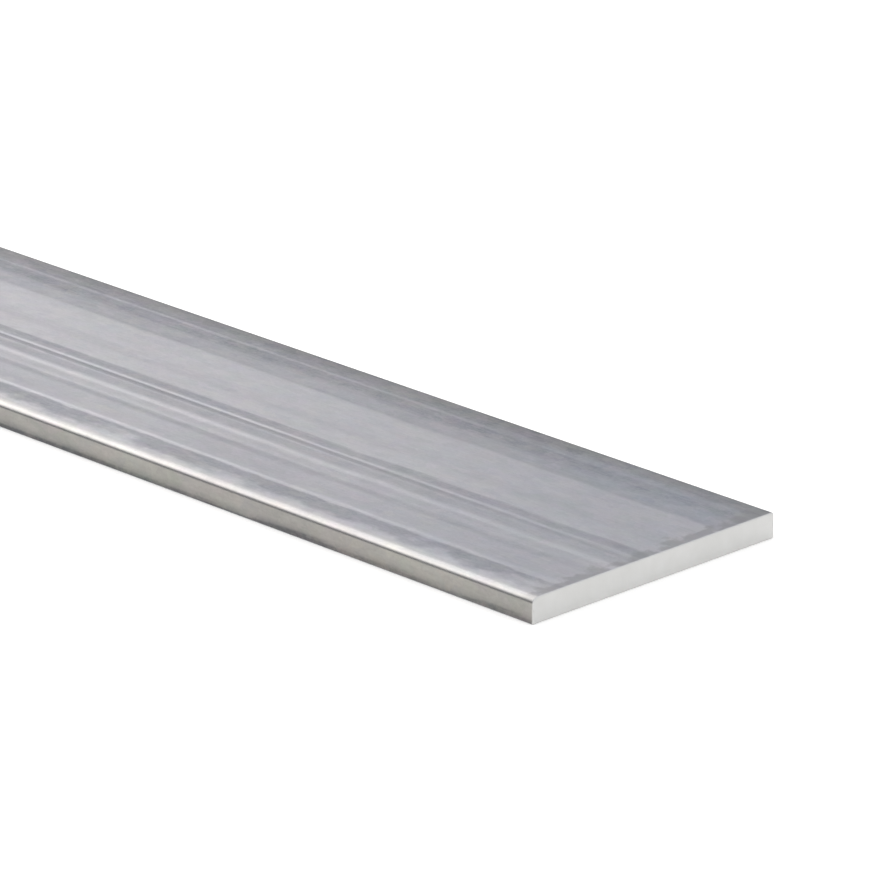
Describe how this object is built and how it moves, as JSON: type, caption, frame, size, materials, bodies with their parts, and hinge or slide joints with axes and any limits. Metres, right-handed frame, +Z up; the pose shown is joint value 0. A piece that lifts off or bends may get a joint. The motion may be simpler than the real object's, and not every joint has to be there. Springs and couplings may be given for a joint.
{
  "type": "aluminium flat bar",
  "caption": "Straight extruded aluminium flat bar with one rounded long edge and square sawn ends, plain stock for framing, bracing and trim.",
  "frame": {"origin": "centre of the bottom wide face, halfway along the bar", "axes": "+X along the bar's length towards the sawn end that the picture shows, +Y across its wide face, +Z up through its thickness"},
  "size_m": [0.9144, 0.0382, 0.0032],
  "materials": {
    "mill_aluminium": "mill finish, as extruded, with lengthwise die lines; matt sawn ends"
  },
  "bodies": {
    "root": {"flat_bar": "mill_aluminium"}
  },
  "joints": []
}
